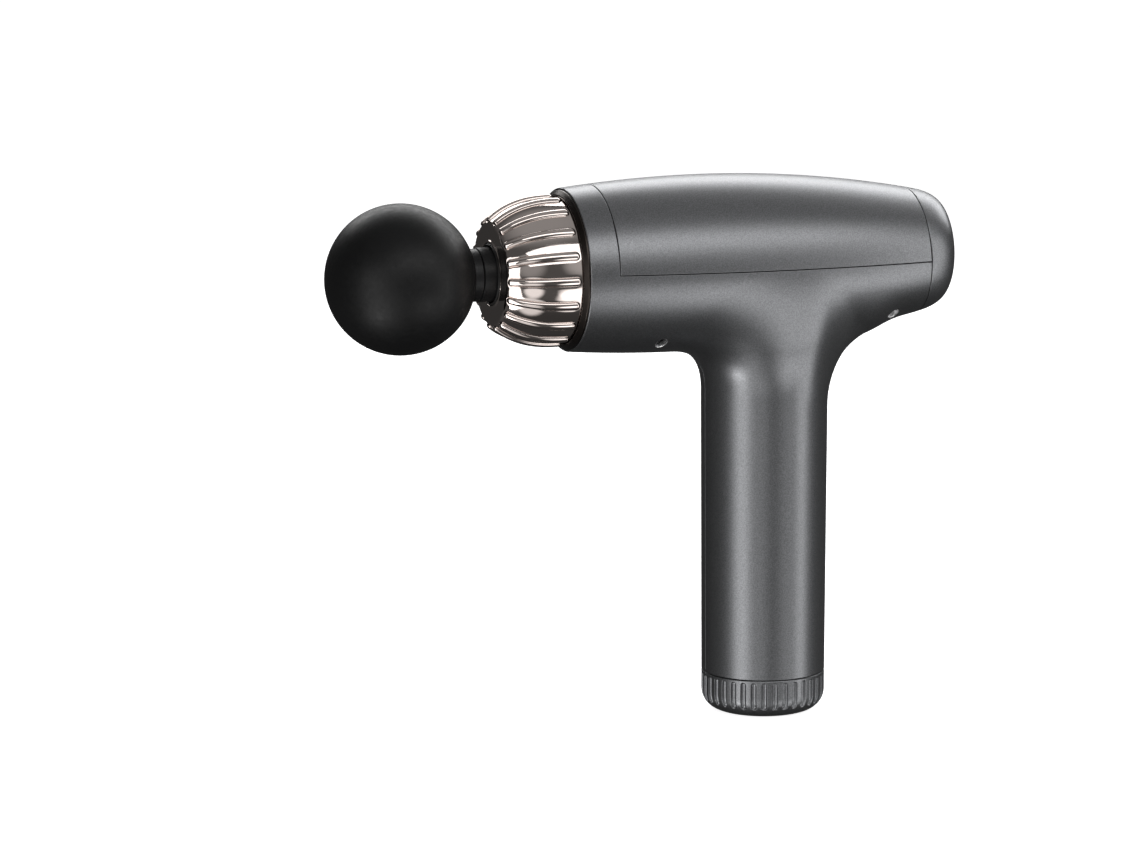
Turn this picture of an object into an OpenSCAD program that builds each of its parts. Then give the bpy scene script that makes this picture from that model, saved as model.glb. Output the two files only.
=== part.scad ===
// Handheld massage gun: a T-shaped percussion massager with a ball head,
// a ribbed dome around its plunger, a brushless motor and a battery in the handle.
// The origin is the centre of the flat base, on the handle's axis.
// +Z is up along the handle, -X points to the ball, and the barrel's axis lies along X.

/* [Barrel] */
// Height of the barrel's axis above the base
axis_h = 166; // [162:1:175]
// Largest outer radius of the barrel
barrel_r = 31.7; // [31.5:0.1:32.5]
// Distance of the barrel's front rim from the handle's axis
rim_reach = 77.5; // [77:0.5:80]
// Distance of the top cover's front edge from the handle's axis
cover_reach = 66.75; // [60:0.25:70]
// Distance of the rear cap's seam from the handle's axis
seam_reach = 55.8; // [55:0.1:57]
// Distance of the rear face from the handle's axis
rear_reach = 67.5; // [67:0.5:69]
// Wall thickness of the shells
wall = 2.2; // [1.8:0.1:2.3]

/* [Handle] */
// Outer radius of the handle at its top
handle_top_r = 23; // [22.8:0.1:24]
// Outer radius of the handle at the base ring
handle_low_r = 22.4; // [22.3:0.1:22.8]
// Height of the base ring
base_h = 14.6; // [14:0.1:16]
// Rounding of the base ring's lower edge
base_round = 7.5; // [7:0.5:8.5]
// Number of slots around the base ring
slot_count = 36; // [24:1:40]
// Width of one slot
slot_w = 2.1; // [1.5:0.1:2.4]

/* [Dome] */
// Largest radius of the dome between its ribs
dome_r = 26.2; // [25.5:0.1:26.2]
// Distance of the dome's front face from the handle's axis
dome_reach = 105.2; // [104:0.2:105.4]
// Radius of the dome's flat front face
dome_face_r = 17.2; // [16:0.2:18]
// Number of ribs around the dome
rib_count = 18; // [12:1:20]
// Width of one rib
rib_w = 3; // [2:0.1:3.2]
// Height of a rib above the dome
rib_h = 1.1; // [0.6:0.1:1.1]

/* [Head] */
// Outer radius of the ball
ball_r = 27; // [24:0.5:28]
// Distance of the ball's centre from the handle's axis
ball_reach = 138.8; // [138.8:0.2:141]
// Thickness of the ball's soft skin
ball_skin = 2; // [2:0.5:5]
// Radius of the head's stem
stem_r = 5.65; // [5.65:0.01:5.7]

/* [Drive] */
// Stroke of the plunger
stroke = 8; // [6:0.5:8]
// Outer radius of the plunger
plunger_r = 9.75; // [9:0.05:9.75]
// Outer radius of the motor
motor_r = 17.3; // [17:0.1:17.4]
// Distance of the motor's axis behind the handle's axis
crank_x = 2.5; // [0:0.5:2.5]

/* [Battery] */
// Radius of one battery cell
cell_r = 9.1; // [9:0.1:9.15]
// Length of one battery cell
cell_l = 65; // [60:1:66]

/* [Hidden] */
$fn = 72;

// Barrel outline: one arc ahead of its thickest place and one behind it
crest_x = -30;
front_arc = 480;
rear_arc = 425;
barrel_steps = 12;
rim_x = -rim_reach;
cover_x = -cover_reach;
rim_seat = 3.5;
rim_seat_r = 28.75;
// Seams: the top cover's edge falls gently to the rear, and the cap's seam leans forward
cover_seam_rise = 0.3;
cover_seam_tilt = 1.31;
cap_seam_lean = 2.87;
cap_corner = 6;
cap_wall = 2.9;
cap_corner_r = 20.8;
// Neck: a tight fillet ahead of the handle and a 45 degree web behind it
neck_low = 48;
neck_high = 24;
neck_steps = 9;
neck_fillet = 7;
web_start = 44;
handle_top_drop = 46;
neck_nose_r = 13;
// Shell screws as [x, height below the barrel's axis], driven along Y
shell_screw_places = [[-46.8, 25.4], [44.5, 20.7]];
shell_screw_r = 1.1;
shell_head_r = 1.7;
shell_recess_r = 1.85;
boss_r = 3.4;
head_seat_y = -9;
// Dome
dome_mid = -82;
dome_half_length = 37;
dome_base_x = -75.8;
dome_wall = 1.4;
dome_hole_r = 11.2;
rib_front_x = -104.2;
rib_rear_x = -79.8;
// Rear panel
lens_r = 14.1;
lens_t = 1.2;
button_hole_r = 5.6;
button_r = 5.3;
button_proud = 0.5;
board_x = 59.8;
board_t = 1.6;
panel_screw_y = 15.2;
led_ring_r = 9.8;
// Base plate
plate_r = 13.45;
plate_t = 3;
switch_x = 4.5;
jack_x = -6.5;
recess = 0.4;
rocker_tilt = 8;
rocker_z = 4.2;
plate_screw_x = -3;
plate_screw_y = 10;
// Head and plunger
core_r = 8;
core_l = 12;
head_collar_r = 9.5;
head_collar_x = -ball_reach + sqrt(ball_r * ball_r - head_collar_r * head_collar_r);
collar_x = -110.4;
stem_l = 24.5;
groove_x = -94.2;
groove_w = 2.2;
groove_r = 4.6;
plunger_front_x = -110.3;
plunger_rear_x = -56;
socket_r = 5.75;
socket_l = 27;
sleeve_r = 12.3;
sleeve_front_x = -101.5;
sleeve_rear_x = -66;
// Crank and motor, with heights given from the barrel's axis
crank_r = stroke / 2;
pin_r = 3;
pin_root_r = 1.2;
roller_r = 6.5;
roller_w = 5;
yoke_slot = [15, 23];
yoke_plate = [22, 31];
tang_r = 5;
shaft_r = 2.45;
bearing_bore_r = 2.5;
bearing_r = 5.5;
bearing_w = 5;
bell_top = -6.8;
bell_low = -31.2;
base_top = -32;
base_low = -34;
frame_low = -36.5;
cradle_top = -14;
cradle_r = 20.2;
frame_plate_r = 18.2;
disc_top = -3.2;
upper_bearing_low = -13.7;
stack_low = -29.5;
stack_h = 18;
tooth_count = 12;
tooth_w = 2.2;
magnet_count = 14;
motor_screw_pcd = 25;
// Battery
cell_low = 22;
cell_ring_r = 10.65;
tray_r = 19.9;
tray_top = cell_low + cell_l + 3;

// ---- helpers ----

// Places its children on the barrel's axis.
module on_axis() {
  translate([0, 0, axis_h]) children();
}

// Places its children where the motor's upright axis crosses the barrel's axis.
module at_crank() {
  translate([crank_x, 0, axis_h]) children();
}

// Turns an outline of [radius, x] points about the barrel's axis.
module barrel_turn() {
  on_axis() rotate([0, 90, 0]) rotate_extrude() children();
}

// A tube along the barrel's axis from x0 to x1. An inner radius of 0 gives a rod.
module barrel_tube(x0, x1, outer_r, inner_r = 0) {
  on_axis() translate([x0, 0, 0]) rotate([0, 90, 0]) difference() {
    cylinder(r = outer_r, h = x1 - x0);
    if (inner_r > 0) translate([0, 0, -1]) cylinder(r = inner_r, h = x1 - x0 + 2);
  }
}

// An upright tube on the handle's axis from z0 to z1, with heights from the base.
module upright_tube(z0, z1, outer_r, inner_r = 0) {
  translate([0, 0, z0]) difference() {
    cylinder(r = outer_r, h = z1 - z0);
    if (inner_r > 0) translate([0, 0, -1]) cylinder(r = inner_r, h = z1 - z0 + 2);
  }
}

// Points of a circular arc in an outline.
function arc(centre, radius, from, to, steps) = [
  for (i = [0:steps]) let (a = from + (to - from) * i / steps)
    centre + radius * [cos(a), sin(a)]
];

// Outer radius of the barrel at x.
function barrel_radius(x) =
  let (d = x - crest_x, bow = d < 0 ? front_arc : rear_arc)
  barrel_r - bow + sqrt(bow * bow - d * d);

// Radius of the dome between its ribs at x.
function dome_radius(x) =
  dome_r * sqrt(1 - pow((x - dome_mid) / dome_half_length, 2));

// ---- body shells ----

module barrel_solid(inset, x0, x1) {
  barrel_turn() polygon(concat(
    [[0, x0]],
    [for (i = [0:barrel_steps]) let (x = x0 + (x1 - x0) * i / barrel_steps) [barrel_radius(x) - inset, x]],
    [[0, x1]]
  ));
}

module handle_solid(inset) {
  top = axis_h - handle_top_drop;
  translate([0, 0, base_h]) cylinder(r1 = handle_low_r - inset, r2 = handle_top_r - inset, h = top - base_h);
  translate([0, 0, top]) cylinder(r = handle_top_r - inset, h = 34);
}

// One level of the neck: its outline reaches ahead by the fillet and behind by the web.
module neck_slice(drop, inset) {
  fillet_depth = min(neck_fillet, max(0, barrel_r - 0.3 + neck_fillet - drop));
  ahead = handle_top_r + neck_fillet - sqrt(pow(neck_fillet, 2) - pow(fillet_depth, 2));
  behind = handle_top_r + max(0, web_start - drop);
  translate([0, 0, axis_h - drop]) linear_extrude(0.02) hull() {
    circle(r = handle_top_r - inset, $fn = 48);
    for (x = [neck_nose_r - ahead, behind - neck_nose_r])
      translate([x, 0]) circle(r = neck_nose_r - inset, $fn = 32);
  }
}

module neck(inset) {
  step = (neck_low - neck_high) / neck_steps;
  for (i = [0:neck_steps - 1]) hull() {
    neck_slice(neck_low - i * step, inset);
    neck_slice(neck_low - (i + 1) * step, inset);
  }
}

// Everything above the top cover's seam.
module above_seam() {
  translate([0, 0, axis_h + cover_seam_rise]) rotate([0, cover_seam_tilt, 0])
    translate([-150, -60, 0]) cube([300, 120, 60]);
}

// Everything behind the rear cap's seam.
module behind_cap_seam() {
  translate([seam_reach, 0, axis_h]) rotate([0, -cap_seam_lean, 0])
    translate([0, -60, -60]) cube([60, 120, 120]);
}

module cover_zone() {
  difference() {
    intersection() {
      above_seam();
      translate([cover_x, -60, axis_h - 20]) cube([200, 120, 80]);
    }
    behind_cap_seam();
  }
}

module body_outside() {
  barrel_solid(0, rim_x, seam_reach + 2);
  handle_solid(0);
  neck(0);
}

module body_inside() {
  barrel_solid(wall, rim_x + rim_seat, seam_reach + 3);
  barrel_tube(rim_x - 1, rim_x + rim_seat + 0.01, rim_seat_r);
  translate([0, 0, -0.1]) handle_solid(wall);
  neck(wall);
}

// Both halves of the body in one, before they are parted at y = 0.
module body_shell() {
  difference() {
    body_outside();
    difference() {
      body_inside();
      shell_bosses();
    }
    shell_screw_holes();
    cover_zone();
    behind_cap_seam();
  }
}

module shell_bosses() {
  for (place = shell_screw_places) translate([place[0], 25, axis_h - place[1]])
    rotate([90, 0, 0]) cylinder(r = boss_r, h = 50, $fn = 32);
}

module shell_screw_holes() {
  for (place = shell_screw_places) translate([place[0], 0, axis_h - place[1]]) rotate([90, 0, 0]) {
    translate([0, 0, -10]) cylinder(r = shell_screw_r + 0.05, h = 20);
    translate([0, 0, -head_seat_y]) cylinder(r = shell_recess_r, h = 30);
  }
}

module body_shell_left() {
  color("#55575a") intersection() {
    body_shell();
    translate([-150, -60, 0]) cube([300, 60, 260]);
  }
}

module body_shell_right() {
  color("#55575a") intersection() {
    body_shell();
    translate([-150, 0, 0]) cube([300, 60, 260]);
  }
}

module shell_screws() {
  color("silver") for (place = shell_screw_places)
    translate([place[0], 0, axis_h - place[1]]) rotate([90, 0, 0]) {
      translate([0, 0, -9]) cylinder(r = shell_screw_r, h = 9 - head_seat_y);
      translate([0, 0, -head_seat_y]) difference() {
        cylinder(r = shell_head_r, h = 1.6);
        translate([0, 0, 0.8]) cylinder(r = 0.8, h = 2, $fn = 6);
      }
    }
}

// The top cover closes the barrel from above, with four tabs that catch inside the shells.
module top_cover() {
  color("#55575a") {
    intersection() {
      difference() {
        barrel_solid(0, cover_x - 2, seam_reach + 2);
        barrel_solid(wall, cover_x - 3, seam_reach + 3);
      }
      cover_zone();
    }
    for (x = [-50, 30], side = [-1, 1]) cover_tab(x, side);
  }
}

module cover_tab(x, side) {
  tab_y = barrel_radius(x) - wall - 2.1;
  translate([x - 4, side > 0 ? tab_y : -tab_y - 1.6, axis_h - 4]) cube([8, 1.6, 7]);
  translate([x - 4, side > 0 ? tab_y : -tab_y - 2.6, axis_h + 2]) cube([8, 2.6, 4]);
}

module rear_cap() {
  corner_x = rear_reach - cap_corner;
  seam_r = barrel_radius(seam_reach);
  spigot_r = seam_r - wall - 0.3;
  color("#55575a") {
    difference() {
      intersection() {
        barrel_turn() polygon(concat(
          [[0, seam_reach - 3], [seam_r + 0.6, seam_reach - 3], [seam_r, seam_reach]],
          arc([cap_corner_r - cap_corner, corner_x], cap_corner, 0, 90, 6),
          [[0, rear_reach]]
        ));
        behind_cap_seam();
      }
      barrel_turn() polygon([
        [0, seam_reach - 4], [seam_r - cap_wall, seam_reach - 4], [cap_corner_r - cap_wall, corner_x],
        [lens_r + 0.6, rear_reach - 2.6], [0, rear_reach - 2.6]
      ]);
      barrel_tube(rear_reach - 3, rear_reach + 1, lens_r - 1);
      barrel_tube(rear_reach - lens_t, rear_reach + 1, lens_r);
    }
    barrel_tube(seam_reach - 4, seam_reach + 3, spigot_r, spigot_r - 1.5);
    for (side = [-1, 1]) translate([0, panel_screw_y * side, 0]) difference() {
      barrel_tube(board_x + board_t, rear_reach - 2.5, 2.3);
      barrel_tube(board_x, rear_reach - 3, 0.9);
    }
  }
}

// ---- front end ----

module front_bezel() {
  color("#5b4a42") barrel_turn() polygon([
    [28.7, rim_x + 3.3], [28.7, rim_x - 0.2], [28.3, rim_x - 0.7], [26.8, rim_x - 2],
    [26.3, rim_x - 1.8], [26.3, rim_x + 1.3], [27.5, rim_x + 1.3], [27.5, rim_x + 3.3]
  ]);
}

// Outline of the dome from its flat face back to its base, drawn larger by "grow".
function dome_outline(grow) = concat(
  [[dome_face_r, -dome_reach - grow / 3], [19.6 + grow / 2, -104.4 - grow / 2]],
  [for (i = [0:9]) let (x = -102.6 + i * (dome_base_x + 102.6) / 9) [dome_radius(x) + grow, x]]
);

// One rib, a narrow band that follows the dome's outline.
module dome_rib() {
  on_axis() rotate([90, 0, 0]) translate([0, 0, -rib_w / 2]) linear_extrude(rib_w) intersection() {
    polygon([for (p = concat([[dome_face_r, -90]], dome_outline(rib_h))) [p[1], p[0]]]);
    translate([rib_front_x, 0]) square([rib_rear_x - rib_front_x, 40]);
  }
}

module vent_dome() {
  color("#b59a8c") difference() {
    union() {
      barrel_turn() polygon(concat([[0, -dome_reach]], dome_outline(0), [[0, dome_base_x]]));
      barrel_tube(dome_base_x - 0.2, dome_base_x + 1.6, 27.3);
      for (i = [0:rib_count - 1]) on_axis() rotate([360 / rib_count * (i + 0.5), 0, 0])
        translate([0, 0, -axis_h]) dome_rib();
    }
    barrel_turn() polygon(concat(
      [[0, -dome_reach + dome_wall], [dome_face_r - 0.6, -dome_reach + dome_wall]],
      [for (i = [0:6]) let (x = -102 + i * (dome_base_x + 102) / 6) [dome_radius(x) - dome_wall, x]],
      [[dome_radius(dome_base_x) - dome_wall, dome_base_x + 3], [0, dome_base_x + 3]]
    ));
    barrel_tube(-dome_reach - 1, -dome_reach + 4, dome_hole_r);
  }
}

module collar_seal() {
  color("#2a2523") barrel_turn() polygon([
    [10.15, -dome_reach - 0.2], [10.5, -dome_reach - 0.6], [11.15, -dome_reach - 0.2],
    [11.15, -dome_reach + 1.6], [13, -dome_reach + 1.6], [13, -dome_reach + 3.5], [10.15, -dome_reach + 3.5]
  ]);
}

// ---- rear panel ----

module display_lens() {
  color("#101012") barrel_tube(rear_reach - lens_t, rear_reach, lens_r, button_hole_r);
}

module speed_button() {
  color("#3a3b3d") {
    barrel_tube(rear_reach - lens_t - 1.1, rear_reach + button_proud, button_r);
    barrel_tube(rear_reach - lens_t - 1.1, rear_reach - lens_t - 0.1, button_r + 1.3);
  }
}

module display_board() {
  color("#1d5b3a") difference() {
    barrel_tube(board_x, board_x + board_t, 17.5);
    for (side = [-1, 1]) translate([0, panel_screw_y * side, 0])
      barrel_tube(board_x - 1, board_x + board_t + 1, 1);
  }
}

module tact_switch() {
  color("#222222") {
    on_axis() translate([board_x + board_t, -3, -3]) cube([1.9, 6, 6]);
    barrel_tube(board_x + board_t + 1.9, board_x + board_t + 3.1, 1.7);
  }
}

module level_leds() {
  color("#d8e8f0") for (i = [-2:2]) on_axis() rotate([i * 30, 0, 0]) translate([0, 0, led_ring_r - axis_h])
    barrel_tube(board_x + board_t, rear_reach - lens_t - 0.5, 1);
}

module display_screws() {
  color("silver") for (side = [-1, 1]) translate([0, panel_screw_y * side, 0]) {
    barrel_tube(board_x - 1.2, board_x, 1.7);
    barrel_tube(board_x, board_x + board_t + 2, 0.85);
  }
}

// ---- base ----

// Outline of the base ring's outside, drawn smaller by "inset".
function base_outline(inset) = concat(
  arc([handle_low_r - base_round, base_round], base_round - inset, -90, 0, 8),
  [[handle_low_r - inset, base_h]]
);

module base_slot() {
  low = 3.3 + slot_w / 2;
  high = base_h - 0.9 - slot_w / 2;
  hull() for (z = [low, high])
    translate([15, 0, z]) rotate([0, 90, 0]) cylinder(r = slot_w / 2, h = 20, $fn = 12);
}

module base_ring() {
  slot_depth = 1.2;
  ring_wall = 4;
  color("#55575a") {
    difference() {
      rotate_extrude() polygon(concat([[0, 0]], base_outline(0), [[0, base_h]]));
      difference() {
        for (i = [0:slot_count - 1]) rotate([0, 0, 360 / slot_count * i]) base_slot();
        rotate_extrude() polygon(concat([[0, slot_depth]], base_outline(slot_depth), [[0, base_h]]));
      }
      rotate_extrude() polygon([
        [0, -1], [plate_r + 0.05, -1], [plate_r + 0.05, plate_t],
        [handle_low_r - ring_wall - 2, base_round - 1], [handle_low_r - ring_wall, base_h + 1],
        [0, base_h + 1]
      ]);
    }
    upright_tube(base_h - 0.5, base_h + 3, handle_low_r - wall - 0.1, handle_low_r - ring_wall);
  }
}

module base_plate() {
  color("#1c1c1e") difference() {
    upright_tube(0, plate_t, plate_r);
    translate([switch_x - 4.1, -6.3, -1]) cube([8.2, 12.6, 6]);
    translate([jack_x, 0, -1]) cylinder(r = 4.2, h = 6);
    for (side = [-1, 1]) translate([plate_screw_x, plate_screw_y * side, -1]) {
      cylinder(r = 1.1, h = 6);
      cylinder(r = 2, h = 2.2);
    }
  }
}

module base_screws() {
  color("silver") for (side = [-1, 1]) translate([plate_screw_x, plate_screw_y * side, 0]) {
    translate([0, 0, recess]) difference() {
      cylinder(r = 1.9, h = 0.8);
      translate([0, 0, -1]) cylinder(r = 0.9, h = 1.5, $fn = 6);
    }
    translate([0, 0, recess + 0.8]) cylinder(r = 1.05, h = 7);
  }
}

module switch_frame() {
  color("#141414") difference() {
    translate([switch_x - 4.1, -6.3, recess]) cube([8.2, 12.6, 11]);
    translate([switch_x - 3.2, -5.5, -1]) cube([6.4, 11, 8]);
    translate([switch_x - 5, 0, rocker_z]) rotate([0, 90, 0]) cylinder(r = 0.85, h = 10);
  }
}

// The rocker rests in its off position, tilted about its pin.
module rocker_switch() {
  color("#b3221c") translate([switch_x, 0, rocker_z]) rotate([-rocker_tilt, 0, 0]) {
    translate([-2.9, 0, 0]) rotate([90, 0, 90]) linear_extrude(5.8)
      polygon([[-4.9, 1.6], [-4.9, -2.8], [0, -1.9], [4.9, -2.8], [4.9, 1.6]]);
    translate([-3.9, 0, 0]) rotate([0, 90, 0]) cylinder(r = 0.8, h = 7.8);
  }
}

module charge_jack() {
  color("#141414") translate([jack_x, 0, recess]) difference() {
    cylinder(r = 4.15, h = 11.6);
    translate([0, 0, -1]) cylinder(r = 2.85, h = 10);
  }
}

module jack_pin() {
  color("silver") translate([jack_x, 0, recess + 0.8]) cylinder(r = 1.05, h = 8.2);
}

// ---- head ----

module ball_head() {
  color("#17171a") difference() {
    translate([-ball_reach, 0, axis_h]) sphere(r = ball_r);
    difference() {
      translate([-ball_reach, 0, axis_h]) sphere(r = ball_r - ball_skin);
      barrel_tube(-ball_reach - core_l - 2, -ball_reach + ball_r, core_r + 1.5);
    }
    barrel_tube(-ball_reach - core_l, -ball_reach + ball_r + 1, core_r);
    barrel_tube(head_collar_x, -ball_reach + ball_r + 1, head_collar_r);
  }
}

// The stem's core fills the ball's socket, and its collar meets the plunger.
module head_stem() {
  color("#202022") {
    difference() {
      union() {
        barrel_tube(-ball_reach - core_l, head_collar_x + 1, core_r);
        barrel_tube(head_collar_x, collar_x, head_collar_r);
      }
      barrel_tube(-ball_reach - core_l + 2, head_collar_x - 1, core_r - 2);
    }
    difference() {
      barrel_tube(collar_x - 1, collar_x + stem_l, stem_r);
      barrel_tube(groove_x, groove_x + groove_w, 12, groove_r);
    }
  }
}

module stem_ring() {
  color("#6d6d70") barrel_tube(groove_x + 0.1, groove_x + groove_w - 0.1, stem_r + 0.05, groove_r);
}

// ---- drive ----

module plunger() {
  color("#18181a") difference() {
    barrel_tube(plunger_front_x, plunger_rear_x, plunger_r);
    barrel_tube(plunger_front_x - 1, plunger_front_x + socket_l, socket_r);
    barrel_tube(plunger_front_x + socket_l + 3, plunger_rear_x + 1, tang_r);
    on_axis() translate([plunger_rear_x - 6, 0, -15]) cylinder(r = 1.5, h = 30);
  }
}

// The yoke turns the crank's circle into a straight stroke: the roller runs across its slot.
module yoke() {
  slot_x = crank_x + crank_r;
  plate_front = slot_x - yoke_plate[0] / 2;
  color("#8d9094") {
    on_axis() difference() {
      translate([plate_front, -yoke_plate[1] / 2, -roller_w / 2])
        cube([yoke_plate[0], yoke_plate[1], roller_w]);
      translate([slot_x - yoke_slot[0] / 2, -yoke_slot[1] / 2, -5]) cube([yoke_slot[0], yoke_slot[1], 10]);
    }
    on_axis() translate([-23, -tang_r, -roller_w / 2]) cube([23 + plate_front, 2 * tang_r, roller_w]);
    difference() {
      barrel_tube(plunger_rear_x - 12, -22, tang_r);
      on_axis() translate([plunger_rear_x - 6, 0, -15]) cylinder(r = 1.5, h = 30);
    }
  }
}

module yoke_pin() {
  color("silver") on_axis() translate([plunger_rear_x - 6, 0, -9.3]) cylinder(r = 1.5, h = 18.6);
}

module guide_sleeve() {
  color("#b08d57") barrel_tube(sleeve_front_x, sleeve_rear_x, sleeve_r, plunger_r + 0.05);
}

// The frame holds the guide sleeve in front and the motor behind in one line.
module drive_frame() {
  color("#2b2c2f") {
    difference() {
      barrel_tube(-74, -67, 26.3, sleeve_r);
      for (i = [0:5]) on_axis() rotate([60 * i, 0, 0])
        translate([0, 0, 19.3 - axis_h]) barrel_tube(-75, -61, 5);
    }
    on_axis() for (side = [-1, 1]) translate([-68, side > 0 ? 8 : -12, -21.5]) cube([52.5, 4, 7.5]);
    at_crank() translate([0, 0, frame_low]) {
      intersection() {
        difference() {
          cylinder(r = cradle_r, h = cradle_top - frame_low);
          translate([0, 0, -1]) cylinder(r = motor_r + 0.7, h = cradle_top - frame_low + 2);
        }
        translate([-30, -12.5, 0]) cube([30, 25, 30]);
      }
      difference() {
        cylinder(r = frame_plate_r, h = base_low - frame_low);
        translate([0, 0, -1]) cylinder(r = 6, h = 5);
        motor_screw_ring() translate([0, 0, -1]) cylinder(r = 1.5, h = 5);
      }
    }
  }
}

// Repeats its children at the motor's four screws.
module motor_screw_ring() {
  for (i = [0:3]) rotate([0, 0, 45 + 90 * i]) translate([motor_screw_pcd / 2, 0, 0]) children();
}

module frame_damper() {
  color("#303030") barrel_tube(-73, -68, barrel_radius(-73) - wall - 0.1, 26.3);
}

module frame_pads() {
  color("#303030") for (side = [-1, 1]) intersection() {
    translate([crank_x - 5, side > 0 ? 0 : -30, axis_h + frame_low - 1]) cube([10, 30, 4]);
    difference() {
      upright_tube(axis_h + frame_low - 1, axis_h + frame_low + 3, handle_top_r - wall - 0.1);
      at_crank() translate([0, 0, frame_low - 2]) cylinder(r = frame_plate_r, h = 6);
    }
  }
}

module motor_base() {
  color("#2c2d30") at_crank() difference() {
    union() {
      translate([0, 0, base_low]) cylinder(r = motor_r - 0.5, h = base_top - base_low);
      translate([0, 0, base_low]) cylinder(r = 7, h = upper_bearing_low + bearing_w - base_low);
    }
    translate([0, 0, base_low - 1]) cylinder(r = bearing_r, h = 30);
    motor_screw_ring() translate([0, 0, base_low - 1]) cylinder(r = 1.5, h = 5);
  }
}

module motor_bearings() {
  color("silver") at_crank() for (z = [base_low, upper_bearing_low]) translate([0, 0, z]) difference() {
    cylinder(r = bearing_r, h = bearing_w);
    translate([0, 0, -1]) cylinder(r = bearing_bore_r, h = bearing_w + 2);
  }
}

module motor_screws() {
  color("silver") at_crank() motor_screw_ring() {
    translate([0, 0, frame_low - 1.6]) cylinder(r = 2.7, h = 1.6);
    translate([0, 0, frame_low]) cylinder(r = 1.5, h = base_top - frame_low - 0.2);
  }
}

module stator_core() {
  color("#7a7c80") at_crank() translate([0, 0, stack_low]) difference() {
    union() {
      cylinder(r = 9, h = stack_h);
      for (i = [0:tooth_count - 1]) rotate([0, 0, 360 / tooth_count * i]) {
        translate([8, -tooth_w / 2, 0]) cube([4.5, tooth_w, stack_h]);
        translate([12, -2.6, 0]) cube([0.95, 5.2, stack_h]);
      }
    }
    translate([0, 0, -1]) cylinder(r = 7, h = stack_h + 2);
  }
}

module stator_windings() {
  overhang = 1.2;
  color("#b5651d") at_crank() for (i = [0:tooth_count - 1]) rotate([0, 0, 360 / tooth_count * i])
    translate([9.3, 0, stack_low]) difference() {
      translate([0, -2.35, -overhang]) cube([2.6, 4.7, stack_h + 2 * overhang]);
      translate([-1, -tooth_w / 2, 0]) cube([5, tooth_w, stack_h]);
    }
}

module motor_shaft() {
  color("silver") at_crank() translate([0, 0, base_low + 0.2])
    cylinder(r = shaft_r, h = disc_top - base_low - 0.2);
}

module rotor_bell() {
  bell_h = bell_top - bell_low;
  color("#2c2d30") at_crank() translate([0, 0, bell_low]) difference() {
    cylinder(r = motor_r, h = bell_h);
    translate([0, 0, -1]) cylinder(r = motor_r - 2, h = bell_h - 0.5);
    translate([0, 0, -1]) cylinder(r = shaft_r, h = bell_h + 2);
    for (i = [0:5]) rotate([0, 0, 60 * i]) translate([11, 0, bell_h - 3]) cylinder(r = 2.6, h = 5);
  }
}

module rotor_magnets() {
  color("#a9abae") at_crank() for (i = [0:magnet_count - 1]) rotate([0, 0, 360 / magnet_count * i])
    translate([motor_r - 3.7, -2.6, stack_low - 0.5]) cube([1.5, 5.2, stack_h + 1]);
}

// The crank's heavy side lies opposite its pin.
module crank_disc() {
  thickness = disc_top - bell_top;
  color("#6b6d70") at_crank() translate([0, 0, bell_top]) difference() {
    union() {
      cylinder(r = 10.5, h = thickness);
      intersection() {
        cylinder(r = 17, h = thickness);
        translate([-20, -14, 0]) cube([20, 28, thickness]);
      }
    }
    translate([0, 0, -1]) cylinder(r = shaft_r, h = thickness + 2);
    translate([crank_r, 0, 1]) cylinder(r = pin_root_r, h = thickness);
  }
}

// The crank pin's thin root sits in the disc, beside the shaft's bore.
module crank_pin() {
  color("silver") at_crank() translate([crank_r, 0, 0]) {
    translate([0, 0, bell_top + 1]) cylinder(r = pin_root_r, h = disc_top - bell_top - 1);
    translate([0, 0, disc_top]) cylinder(r = pin_r, h = 7);
  }
}

module crank_bearing() {
  color("#c8cacd") at_crank() translate([crank_r, 0, -roller_w / 2]) difference() {
    cylinder(r = roller_r, h = roller_w);
    translate([0, 0, -1]) cylinder(r = pin_r, h = roller_w + 2);
  }
}

module bearing_clip() {
  color("#404246") at_crank() translate([crank_r, 0, roller_w / 2]) difference() {
    cylinder(r = 4.6, h = 0.7);
    translate([0, 0, -1]) cylinder(r = pin_r, h = 3);
  }
}

// ---- battery and boards ----

module around_cells() {
  for (i = [0:2]) rotate([0, 0, 60 + 120 * i]) translate([cell_ring_r, 0, 0]) children();
}

module battery_cells() {
  color("#2f6fb0") around_cells() translate([0, 0, cell_low]) {
    cylinder(r = cell_r, h = cell_l - 1);
    cylinder(r = 3.2, h = cell_l);
  }
}

module cell_tray_low() {
  color("#222224") difference() {
    upright_tube(cell_low - 3, cell_low + 5, tray_r);
    around_cells() {
      translate([0, 0, cell_low]) cylinder(r = cell_r, h = 10);
      translate([0, 0, cell_low - 5]) cylinder(r = 5, h = 10);
    }
  }
}

module cell_tray_top() {
  color("#222224") {
    difference() {
      upright_tube(tray_top - 8, tray_top, tray_r);
      around_cells() {
        translate([0, 0, tray_top - 14]) cylinder(r = cell_r, h = 10);
        translate([0, 0, tray_top - 6]) cylinder(r = 5, h = 10);
      }
    }
    for (i = [0:2]) rotate([0, 0, 120 * i]) translate([15.5, 0, tray_top - 1]) cylinder(r = 1.8, h = 4);
  }
}

module cell_links() {
  color("silver") {
    for (a = [60, 180]) rotate([0, 0, a])
      translate([cell_ring_r - 3, -3, tray_top - 2.9]) cube([6, 6, 0.2]);
    for (a = [60, 180, 300]) rotate([0, 0, a])
      translate([cell_ring_r - 3, -3, cell_low - 0.3]) cube([6, 6, 0.2]);
  }
}

module battery_board() {
  board_z = tray_top + 3;
  color("#1d5b3a") upright_tube(board_z, board_z + 1.6, 18.5);
  color("#222222") for (x = [-9, 0, 9]) translate([x - 2.5, -4, board_z + 1.6]) cube([5, 6, 1.5]);
}

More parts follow.
